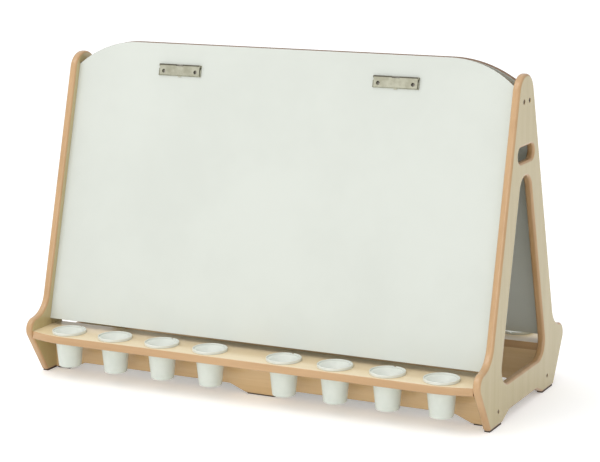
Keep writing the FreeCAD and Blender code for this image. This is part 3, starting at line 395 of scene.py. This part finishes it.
class Recipe:
    """A Geometry Nodes tree with named sizes, which turns points into one plain mesh."""

    def __init__(self, name, sizes):
        self.tree = bpy.data.node_groups.new(name, "GeometryNodeTree")
        face = self.tree.interface
        face.new_socket("Geometry", in_out="OUTPUT", socket_type="NodeSocketGeometry")
        face.new_socket("Points", in_out="INPUT", socket_type="NodeSocketGeometry")
        self.keys = {}
        for size in sizes:
            made = face.new_socket(size, in_out="INPUT", socket_type="NodeSocketFloat")
            self.keys[size] = made.identifier
        made = face.new_socket("Material", in_out="INPUT", socket_type="NodeSocketMaterial")
        self.keys["Material"] = made.identifier
        self.given = self.tree.nodes.new("NodeGroupInput").outputs

    def node(self, kind, settings=None, inputs=None, output=0):
        """Adds a node, with its settings first, then its sockets' values or links."""
        made = self.tree.nodes.new(kind)
        for key, value in (settings or {}).items():
            setattr(made, key, value)
        for key, value in (inputs or {}).items():
            for each in value if isinstance(value, list) else [value]:
                if isinstance(each, bpy.types.NodeSocket):
                    self.tree.links.new(each, made.inputs[key])
                else:
                    made.inputs[key].default_value = each
        return made.outputs[output]

    def sum(self, operation, *values):
        """One step of arithmetic on sizes."""
        return self.node("ShaderNodeMath", {"operation": operation}, dict(enumerate(values)))

    def vector(self, x=0.0, y=0.0, z=0.0):
        return self.node("ShaderNodeCombineXYZ", None, {"X": x, "Y": y, "Z": z})

    def attribute(self, name, kind):
        return self.node("GeometryNodeInputNamedAttribute", {"data_type": kind}, {"Name": name})

    def copies(self, shape, scale=(1, 1, 1)):
        """The shape on every point, turned as the point's own attribute says."""
        turn = self.node("FunctionNodeEulerToRotation", None,
                         {"Euler": self.attribute("turn", "FLOAT_VECTOR")})
        return self.node("GeometryNodeInstanceOnPoints", None,
                         {"Points": self.given["Points"], "Instance": shape,
                          "Rotation": turn, "Scale": scale})

    def close(self, *instances):
        """Ends the tree: real faces, smooth but for sharp corners, and a material."""
        joined = self.node("GeometryNodeJoinGeometry", None, {"Geometry": list(instances)})
        real = self.node("GeometryNodeRealizeInstances", None, {"Geometry": joined})
        smooth = self.node("GeometryNodeSetShadeSmooth", None, {"Geometry": real})
        angle = self.node("GeometryNodeInputMeshEdgeAngle")
        sharp = self.node("FunctionNodeCompare", {"operation": "GREATER_THAN"},
                          {"A": angle, "B": SHARP})
        smooth = self.node("GeometryNodeSetShadeSmooth", {"domain": "EDGE"},
                           {"Geometry": smooth, "Selection": sharp, "Shade Smooth": False})
        done = self.node("GeometryNodeSetMaterial", None,
                         {"Geometry": smooth, "Material": self.given["Material"]})
        self.tree.links.new(done, self.tree.nodes.new("NodeGroupOutput").inputs["Geometry"])

    def serve(self, name, points, finish, sizes):
        """Runs the tree on points of (spot, turn, share) and keeps the result as a plain mesh."""
        mesh = bpy.data.meshes.new(name)
        mesh.from_pydata([spot for spot, turn, share in points], [], [])
        turns = mesh.attributes.new("turn", "FLOAT_VECTOR", "POINT")
        turns.data.foreach_set("vector", [angle for spot, turn, share in points for angle in turn])
        shares = mesh.attributes.new("share", "FLOAT", "POINT")
        shares.data.foreach_set("value", [share for spot, turn, share in points])
        piece = bpy.data.objects.new(name, mesh)
        bpy.context.scene.collection.objects.link(piece)
        modifier = piece.modifiers.new(name, "NODES")
        modifier.node_group = self.tree
        for size, value in sizes.items():
            modifier[self.keys[size]] = value
        modifier[self.keys["Material"]] = finish.material
        evaluated = piece.evaluated_get(bpy.context.evaluated_depsgraph_get())
        plain = bpy.data.meshes.new_from_object(evaluated)
        piece.modifiers.remove(modifier)
        piece.data = plain
        plain.name = name
        print(name, len(points), "copies,", len(plain.polygons), "faces")
        return piece


# %% The spring's tree
SPRING_WIRE = 0.9 * MM
SPRING_SIZES = {"Length": 17 * MM, "Wire": SPRING_WIRE, "Leg": 11 * MM}
RING_POINTS, WIRE_POINTS = 14, 8
PITCH_SHARE = 1.06  # from coil to coil, as a share of the wire's diameter


def spring_recipe():
    """A close coil round local X, from a straight leg that runs down the slope."""
    recipe = Recipe("coil_spring", SPRING_SIZES)
    given = recipe.given
    reach = recipe.sum("SUBTRACT", given["Length"], given["Wire"])
    turns = recipe.sum("DIVIDE", reach, recipe.sum("MULTIPLY", given["Wire"], PITCH_SHARE))
    helix = recipe.node("GeometryNodeCurveSpiral", None,
                        {"Resolution": RING_POINTS, "Rotations": turns, "Start Radius": given["Radius"],
                         "End Radius": given["Radius"], "Height": reach})
    leg = recipe.node("GeometryNodeCurvePrimitiveLine", None,
                      {"Start": recipe.vector(x=given["Radius"]),
                       "End": recipe.vector(x=given["Radius"],
                                            y=recipe.sum("MULTIPLY", given["Leg"], -1.0))})
    path = recipe.node("GeometryNodeJoinGeometry", None, {"Geometry": [helix, leg]})
    half_back = recipe.vector(x=recipe.sum("MULTIPLY", reach, -0.5))
    laid = recipe.node("GeometryNodeTransform", None,
                       {"Geometry": path, "Translation": half_back,
                        "Rotation": (0, math.radians(90), 0)})
    round_wire = recipe.node("GeometryNodeCurvePrimitiveCircle", None,
                             {"Resolution": WIRE_POINTS,
                              "Radius": recipe.sum("MULTIPLY", given["Wire"], 0.5)})
    spring = recipe.node("GeometryNodeCurveToMesh", None,
                         {"Curve": laid, "Profile Curve": round_wire, "Fill Caps": True})
    recipe.close(recipe.copies(spring))
    return recipe


# %% The screw's tree
SCREW_SIZES = {"Head": 5 * MM, "Height": 3.2 * MM, "Dome": 0.9 * MM, "Slot": 1.6 * MM,
               "Shank": 2 * MM, "Length": 45 * MM}
HEAD_POINTS, DOME_RINGS, CROSS_WIDTH, CROSS_REACH = 28, 4, 0.24, 1.24


def screw_recipe():
    """A domed head on local Z with a cross slot, and its shank below."""
    recipe = Recipe("cross_head_screw", SCREW_SIZES)
    given = recipe.given
    head = recipe.node("GeometryNodeMeshCylinder", None,
                       {"Vertices": HEAD_POINTS, "Fill Segments": DOME_RINGS,
                        "Radius": given["Head"], "Depth": given["Height"]}, "Mesh")
    spot = recipe.node("GeometryNodeInputPosition")
    flat = recipe.node("ShaderNodeVectorMath", {"operation": "MULTIPLY"}, {0: spot, 1: (1, 1, 0)})
    out = recipe.node("ShaderNodeVectorMath", {"operation": "LENGTH"}, {0: flat}, "Value")
    share = recipe.sum("DIVIDE", out, given["Head"])
    drop = recipe.sum("MULTIPLY", recipe.sum("MULTIPLY", share, share), given["Dome"])
    height = recipe.node("ShaderNodeSeparateXYZ", None, {"Vector": spot}, "Z")
    top = recipe.node("FunctionNodeCompare", {"operation": "GREATER_THAN"}, {"A": height, "B": 0.0})
    domed = recipe.node("GeometryNodeSetPosition", None,
                        {"Geometry": head, "Selection": top,
                         "Offset": recipe.vector(z=recipe.sum("MULTIPLY", drop, -1.0))})
    long_side = recipe.sum("MULTIPLY", given["Head"], CROSS_REACH)
    short_side = recipe.sum("MULTIPLY", given["Head"], CROSS_WIDTH)
    deep = recipe.sum("MULTIPLY", given["Slot"], 2.0)
    above = recipe.vector(z=recipe.sum("MULTIPLY", given["Height"], 0.5))
    slots = []
    for x, y in ((long_side, short_side), (short_side, long_side)):
        bar = recipe.node("GeometryNodeMeshCube", None, {"Size": recipe.vector(x, y, deep)}, "Mesh")
        slots.append(recipe.node("GeometryNodeTransform", None, {"Geometry": bar, "Translation": above}))
    cut = recipe.node("GeometryNodeMeshBoolean", {"operation": "DIFFERENCE"},
                      {"Mesh 1": domed, "Mesh 2": slots}, "Mesh")
    below = recipe.vector(z=recipe.sum("MULTIPLY", given["Height"], -0.5))
    seated = recipe.node("GeometryNodeTransform", None, {"Geometry": cut, "Translation": below})
    shank = recipe.node("GeometryNodeMeshCylinder", None,
                        {"Vertices": WIRE_POINTS * 2, "Radius": given["Shank"],
                         "Depth": given["Length"]}, "Mesh")
    half_long = recipe.sum("MULTIPLY", given["Length"], -0.5)
    low = recipe.vector(z=recipe.sum("SUBTRACT", half_long, given["Height"]))
    driven = recipe.node("GeometryNodeTransform", None, {"Geometry": shank, "Translation": low})
    wide = recipe.attribute("share", "FLOAT")
    recipe.close(recipe.copies(seated, recipe.vector(wide, wide, 1.0)), recipe.copies(driven))
    return recipe


# %% [markdown]
# A screw's point is the middle of its head's top, so the tops of the heads are
# found as the vertices that lie furthest out, sorted into rings of near neighbours.
# A spring's point is the middle of its clip's hinge wire, which is where the
# record puts the hinge.

# %% Where springs and screws go
SCREW_SPACING = 15 * MM
SKIM = 0.05 * MM
CLIP_TURN = {"front": (math.pi / 2 - LEAN, 0, 0), "rear": (math.pi / 2 - LEAN, 0, math.pi)}
CROSS_TURNS = (0.3, 0.9, 0.1, 0.6)


def head_tops(name, direction):
    """The middle and radius of each screw head that looks along a direction."""
    way = Vector(direction)
    high = span(name, direction)[1]
    rings = []
    for vertex in nodes[name].data.vertices:
        if vertex.co.dot(way) > high - SKIM:
            near = [ring for ring in rings if (ring[0] - vertex.co).length < SCREW_SPACING]
            if near:
                near[0].append(vertex.co)
            else:
                rings.append([vertex.co])
    tops = []
    for ring in rings:
        low = Vector([min(point[axis] for point in ring) for axis in range(3)])
        top = Vector([max(point[axis] for point in ring) for axis in range(3)])
        tops.append(((low + top) / 2, max(top - low) / 2))
    return tops


def screw_points(name, direction, head):
    """Points for heads that look along a direction, their crosses turned differently."""
    points = []
    for number, (spot, radius) in enumerate(head_tops(name, direction)):
        cross = CROSS_TURNS[number % len(CROSS_TURNS)]
        facing = Vector(direction).to_track_quat("Z", "Y").to_matrix() @ Matrix.Rotation(cross, 3, "Z")
        points.append((spot, facing.to_euler(), radius / head))
    return points


def stand_in(piece, name):
    """The piece takes a CAD node's place on the frame."""
    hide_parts(name)
    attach(piece, "frame")


# %% Make the springs
hinges = []
for joint in frame["joints"]:
    if "hinge" in joint["name"]:
        side = "front" if joint["name"].startswith("front") else "rear"
        hinges.append((Vector(joint["pos_m"]), CLIP_TURN[side], 1.0))
outer_radius = span("clip_springs", OUTWARD["front"])[1] - hinges[0][0].dot(Vector(OUTWARD["front"]))
SPRING_SIZES["Radius"] = outer_radius - SPRING_WIRE / 2
print("coils", round(2 * outer_radius / MM, 2), "mm over the wire")
springs = spring_recipe().serve("coil_springs", hinges, wire_steel, SPRING_SIZES)
stand_in(springs, "clip_springs")

# %% Make the screws
screws = screw_recipe()
for hand, way in (("left", (-1, 0, 0)), ("right", (1, 0, 0))):
    name = "panel_screws_" + hand
    made = screws.serve("domed_%s" % name, screw_points(name, way, SCREW_SIZES["Head"]),
                        zinc, SCREW_SIZES)
    stand_in(made, name)
CLIP_SCREW = {"Head": 3.5 * MM, "Height": 3 * MM, "Dome": 0.8 * MM, "Slot": 1.4 * MM,
              "Shank": 1.6 * MM, "Length": 7.5 * MM}
places = [point for side in SIDES
          for point in screw_points("clip_screws", OUTWARD[side], CLIP_SCREW["Head"])]
made = screws.serve("domed_clip_screws", places, zinc, CLIP_SCREW)
stand_in(made, "clip_screws")

# %% [markdown]
# ## Foot pads
# Thin rubber pads keep the feet from sliding and marking the floor. Rubber is
# matt, dark and slightly uneven.

# %% Rubber
rubber = Finish("foot_rubber", roughness=0.8)
grit = rubber.noise(rubber.place(), 700, 3, 0.6)
rubber.feed("Base Color", rubber.mix(grit.rise(0.3, 0.7), paint("#5C5349"), paint("#4C443B")))
rubber.bump(grit, 0.1 * MM)
dress(rubber, "panel_foot_pads", "rail_foot_pads")
print("feet padded in rubber")

# %% [markdown]
# ## The studio
# The easel stands on a plain pale floor that runs out of sight, in front of a
# white wall of light. The sky that lights it is graded: brightest overhead and at
# the front left, dimmer at the right, so the outer face of the near side panel is
# a shade darker than the shelves. The camera itself sees plain white behind it.

# %% Floor
FLOOR_REACH = 60.0
FLOOR_GLOW = 0.30  # a little light of its own, most of it for the camera only


def make_floor():
    """One pale square on the ground, which isn't part of the easel."""
    corners = [(-1, -1), (1, -1), (1, 1), (-1, 1)]
    mesh = bpy.data.meshes.new("floor")
    mesh.from_pydata([(x * FLOOR_REACH, y * FLOOR_REACH, 0) for x, y in corners], [], [(0, 1, 2, 3)])
    floor = bpy.data.objects.new("floor", mesh)
    bpy.context.scene.collection.objects.link(floor)
    pale = Finish("floor_paper", roughness=0.9)
    pale.shader.inputs["Base Color"].default_value = paint("#F4F4F4")
    pale.shader.inputs["Specular IOR Level"].default_value = 0.1
    seen = pale.node("ShaderNodeLightPath", output="Is Camera Ray")
    pale.feed("Emission Color", pale.mix(seen, paint("#A8A8A8"), paint("#FFFFFF")))
    pale.shader.inputs["Emission Strength"].default_value = FLOOR_GLOW
    mesh.materials.append(pale.material)


make_floor()
print("floor reaches", FLOOR_REACH, "m each way")

# %% Sky
SKY_DIM, SKY_GAIN = 0.20, 0.95
SKY_BRIGHT_WAY = Vector((-0.25, -0.50, 0.90)).normalized()


def make_sky():
    """A sky that is brightest one way for light, and plain white for the camera."""
    world = bpy.data.worlds.new("studio")
    world.use_nodes = True
    tree = world.node_tree
    way = tree.nodes.new("ShaderNodeTexCoord")
    facing = tree.nodes.new("ShaderNodeVectorMath")
    facing.operation = "DOT_PRODUCT"
    facing.inputs[1].default_value = SKY_BRIGHT_WAY
    glow = tree.nodes.new("ShaderNodeMapRange")
    glow.inputs["From Min"].default_value = -1.0
    glow.inputs["To Min"].default_value = SKY_DIM
    glow.inputs["To Max"].default_value = SKY_DIM + SKY_GAIN
    seen = tree.nodes.new("ShaderNodeLightPath")
    choose = tree.nodes.new("ShaderNodeMix")
    choose.inputs["B"].default_value = 1.0
    sky = tree.nodes["Background"]
    sky.inputs["Color"].default_value = paint("#FFFFFF")
    tree.links.new(way.outputs["Generated"], facing.inputs[0])
    tree.links.new(facing.outputs["Value"], glow.inputs["Value"])
    tree.links.new(seen.outputs["Is Camera Ray"], choose.inputs["Factor"])
    tree.links.new(glow.outputs["Result"], choose.inputs["A"])
    tree.links.new(choose.outputs["Result"], sky.inputs["Strength"])
    bpy.context.scene.world = world


make_sky()
print("sky from", SKY_DIM, "to", SKY_DIM + SKY_GAIN)

# %% Lamps
MIDDLE = Vector((0, 0, 0.4))


def add_lamp(name, spot, width, power):
    """A square soft lamp that faces the easel's middle."""
    lamp = bpy.data.lights.new(name, "AREA")
    lamp.shape = "SQUARE"
    lamp.size = width
    lamp.energy = power
    holder = bpy.data.objects.new(name, lamp)
    holder.location = spot
    holder.rotation_euler = (MIDDLE - Vector(spot)).to_track_quat("-Z", "Y").to_euler()
    bpy.context.scene.collection.objects.link(holder)


add_lamp("high_lamp", (-1.2, -1.6, 3.4), 2.2, 26)
add_lamp("front_lamp", (0.6, -3.6, 0.9), 1.8, 16)
bpy.context.scene.view_settings.view_transform = "Standard"
print("two lamps in front")

# %% [markdown]
# ## The camera
# A long lens from a few metres away keeps the uprights nearly parallel. The
# camera stands to the right of the easel, a little above its middle.

# %% Camera
AZIMUTH, ELEVATION, ROLL = math.radians(26.85), math.radians(9.68), math.radians(-0.45)
DISTANCE = 4.4745
AIM = Vector((0.0223, 0.0, 0.5245))
LENS, SENSOR = 116.28, 36.0
camera = bpy.data.cameras.new("camera")
camera.lens = LENS
camera.sensor_width = SENSOR
camera.shift_y = -0.12
camera.clip_end = 200
back = Vector((math.sin(AZIMUTH) * math.cos(ELEVATION),
               -math.cos(AZIMUTH) * math.cos(ELEVATION), math.sin(ELEVATION)))
right = (-back).cross(Vector((0, 0, 1))).normalized()
up = right.cross(-back)
rolled_right = right * math.cos(ROLL) + up * math.sin(ROLL)
rolled_up = up * math.cos(ROLL) - right * math.sin(ROLL)
stand = bpy.data.objects.new("camera", camera)
turn = Matrix((rolled_right, rolled_up, back)).transposed().to_4x4()
stand.matrix_world = Matrix.Translation(AIM + back * DISTANCE) @ turn
bpy.context.scene.collection.objects.link(stand)
bpy.context.scene.camera = stand
print("camera", round(DISTANCE, 2), "m away")
